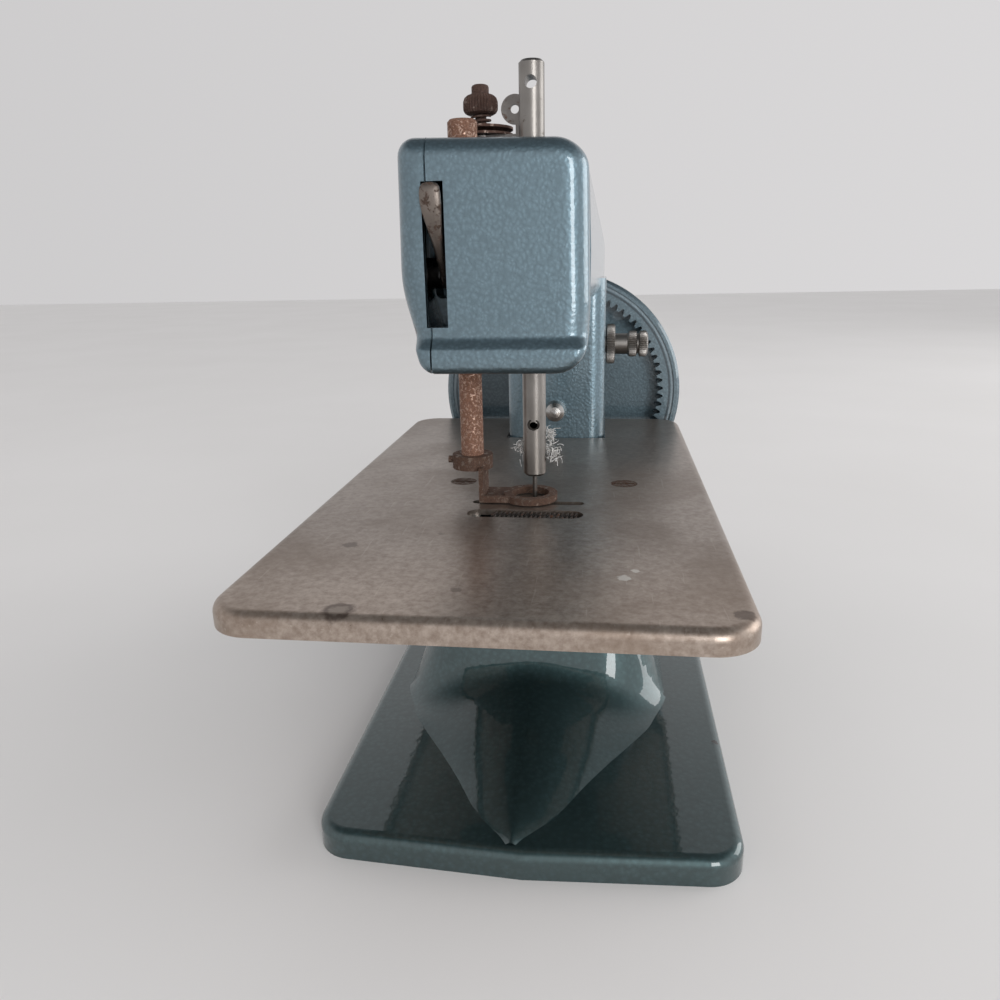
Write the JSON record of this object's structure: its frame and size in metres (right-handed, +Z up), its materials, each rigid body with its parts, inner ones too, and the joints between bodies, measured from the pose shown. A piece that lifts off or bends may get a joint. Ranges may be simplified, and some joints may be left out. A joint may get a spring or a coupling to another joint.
{
  "type": "sewing_machine",
  "caption": "Small hand-cranked toy sewing machine in blue-grey hammered paint: cast arm and base, raised metal work plate, toothed hand wheel, needle bar and presser foot.",
  "frame": {"origin": "centre of the base's underside, on the table", "axes": "+X to the operator's side, +Y along the arm from the needle to the hand wheel, +Z up"},
  "size_m": [0.116, 0.245, 0.1914],
  "materials": {
    "hammer_paint": "semi_gloss",
    "worn_plate": "worn",
    "rusty_steel": "worn",
    "dull_nickel": "satin",
    "dark_steel": "worn",
    "bright_steel": "satin",
    "bronze": "satin",
    "handle_black": "satin"
  },
  "bodies": {
    "frame": {"arm_casting": "hammer_paint", "axle_nut": "bright_steel", "base_casting": "hammer_paint", "cover_screws": "bright_steel", "frame_screws": "bright_steel", "front_bush": "bronze", "front_washer": "bright_steel", "lever_pivot_pin": "bright_steel", "lifter_pin": "bright_steel", "lower_arm": "hammer_paint", "lower_tension_disc": "rusty_steel", "presser_spring": "bright_steel", "rear_bush": "bronze", "rear_cover": "hammer_paint", "rear_washer": "bright_steel", "tension_spring": "rusty_steel", "tension_stud": "rusty_steel", "thread_guide": "rusty_steel", "upper_tension_disc": "rusty_steel", "wheel_axle": "dark_steel", "work_plate": "worn_plate", "work_plate_screws": "dark_steel"},
    "handwheel": {"handwheel": "hammer_paint", "handle_stud": "bright_steel"},
    "handle": {"handle_grip": "handle_black"},
    "shaft": {"lower_shaft": "bright_steel", "shaft_collar": "bright_steel", "eccentric": "bright_steel", "feed_cam": "bright_steel", "looper": "bright_steel", "pinion": "bright_steel"},
    "rod": {"connecting_rod": "bright_steel"},
    "lever": {"needle_lever": "bright_steel", "lever_rod_pin": "bright_steel"},
    "needle": {"needle_bar": "dull_nickel", "needle": "dull_nickel", "needle_set_screw": "bright_steel", "needle_bar_clamp": "bright_steel"},
    "presser": {"presser_bar": "rusty_steel", "presser_collar": "bright_steel", "presser_foot": "rusty_steel", "foot_screw": "rusty_steel"},
    "lifter": {"lifter_lever": "rusty_steel"},
    "feed_swivel": {"feed_swivel": "bright_steel", "feed_hinge_pin": "bright_steel"},
    "feed": {"feed_bar": "bright_steel", "feed_dog": "bright_steel"},
    "tension_nut": {"tension_nut": "rusty_steel"},
    "stitch_screw": {"stitch_length_screw": "dull_nickel"},
    "stitch_lock": {"stitch_lock_disc": "dull_nickel"}
  },
  "joints": [
    {"name": "handwheel_spin", "type": "hinge", "parent": "frame", "child": "handwheel", "pos_m": [0, 0.098, 0.0903], "axis": [0, 1, 0], "continuous": true},
    {"name": "handle_spin", "type": "hinge", "parent": "handwheel", "child": "handle", "pos_m": [0.034, 0.118, 0.0903], "axis": [0, 1, 0], "continuous": true},
    {"name": "lower_shaft_spin", "type": "hinge", "parent": "frame", "child": "shaft", "pos_m": [0, 0.05, 0.05591], "axis": [0, 1, 0], "continuous": true},
    {"name": "rod_stay_upright", "type": "hinge", "parent": "shaft", "child": "rod", "pos_m": [0, 0.0662, 0.0599], "axis": [0, 1, 0], "continuous": true},
    {"name": "needle_lever_rock", "type": "hinge", "parent": "frame", "child": "lever", "pos_m": [0.0063, 0.0357, 0.15], "axis": [-1, 0, 0], "range_deg": [0, 17.31]},
    {"name": "needle_bar_slide", "type": "slide", "parent": "frame", "child": "needle", "axis": [0, 0, 1], "range_m": [0, 0.0201]},
    {"name": "lifter_turn", "type": "hinge", "parent": "frame", "child": "lifter", "pos_m": [-0.0236, -0.0293, 0.142], "axis": [1, 0, 0], "range_deg": [0, 68]},
    {"name": "presser_slide", "type": "slide", "parent": "frame", "child": "presser", "axis": [0, 0, 1], "range_m": [0, 0.0055], "deforming": ["presser_spring"]},
    {"name": "feed_swing", "type": "hinge", "parent": "frame", "child": "feed_swivel", "pos_m": [-0.009, 0.036, 0.07], "axis": [0, 0, 1], "range_deg": [-2.1, 0]},
    {"name": "feed_drop", "type": "hinge", "parent": "feed_swivel", "child": "feed", "pos_m": [-0.009, 0.036, 0.0725], "axis": [1, 0, 0], "range_deg": [0, 1.1]},
    {"name": "tension_nut_turn", "type": "hinge", "parent": "frame", "child": "tension_nut", "pos_m": [-0.016, -0.015, 0.184], "axis": [0, 0, 1], "range_deg": [-180, 180]},
    {"name": "stitch_screw_turn", "type": "hinge", "parent": "frame", "child": "stitch_screw", "pos_m": [0.025, 0.0667, 0.1132], "axis": [1, 0, 0], "range_deg": [-180, 180]},
    {"name": "stitch_lock_turn", "type": "hinge", "parent": "frame", "child": "stitch_lock", "pos_m": [0.02, 0.0667, 0.1132], "axis": [1, 0, 0], "range_deg": [-180, 180]}
  ],
  "couplings": [
    {"joint": "lower_shaft_spin", "follows": "handwheel_spin", "ratio": 6},
    {"joint": "rod_stay_upright", "follows": "handwheel_spin", "ratio": -6},
    {"joint": "needle_bar_slide", "follows": "needle_lever_rock", "m_per_rad": 0.066204},
    {"joint": "lifter_turn", "follows": "presser_slide", "rad_per_m": 215.78}
  ]
}
